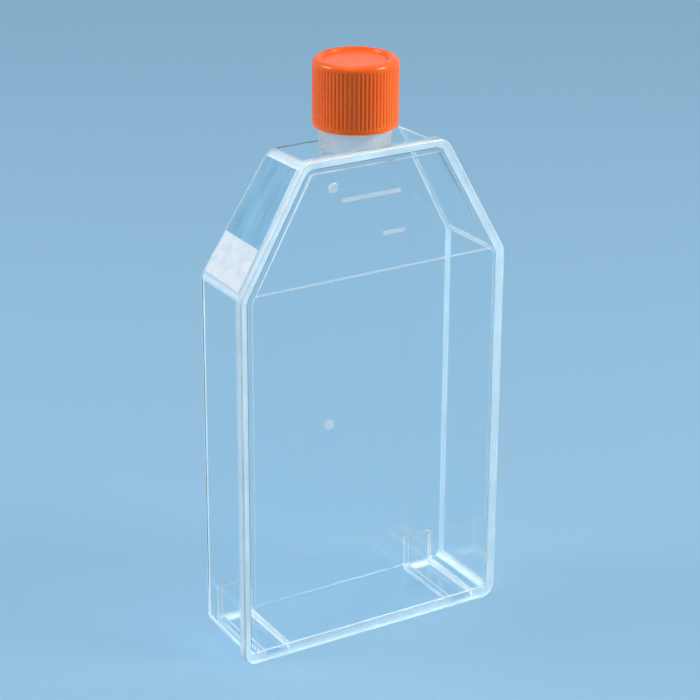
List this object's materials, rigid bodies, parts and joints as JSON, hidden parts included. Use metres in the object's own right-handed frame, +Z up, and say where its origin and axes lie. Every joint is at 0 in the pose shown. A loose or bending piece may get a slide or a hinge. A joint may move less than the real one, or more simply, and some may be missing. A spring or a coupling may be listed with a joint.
{
  "type": "cell culture flask",
  "caption": "Clear flat-sided culture flask that stands on its end, with sloping shoulders, a short straight neck and an orange screw cap.",
  "frame": {"origin": "under the middle of the standing flask, on the surface its rim and feet stand on", "axes": "+Z up the neck, +X across the width, -Y out of the growth face"},
  "size_m": [0.112, 0.036, 0.2236],
  "materials": {
    "clear_polystyrene": "gloss",
    "clear_polystyrene_plate": "gloss",
    "orange_cap": "gloss",
    "foam_liner": "matte"
  },
  "bodies": {
    "flask": {"flask_body": "clear_polystyrene", "growth_plate": "clear_polystyrene_plate"},
    "liner": {"cap_liner": "foam_liner"},
    "cap": {"cap_shell": "orange_cap"}
  },
  "joints": [
    {"name": "cap_rise", "type": "slide", "parent": "flask", "child": "liner", "axis": [0, 0, 1], "range_m": [0, 0.0242]},
    {"name": "cap_turn", "type": "hinge", "parent": "liner", "child": "cap", "pos_m": [0, -0.0023, 0.2], "axis": [0, 0, 1], "range_deg": [0, 2070]}
  ],
  "couplings": [
    {"joint": "cap_rise", "follows": "cap_turn", "m_per_rad": 0.00066845}
  ]
}
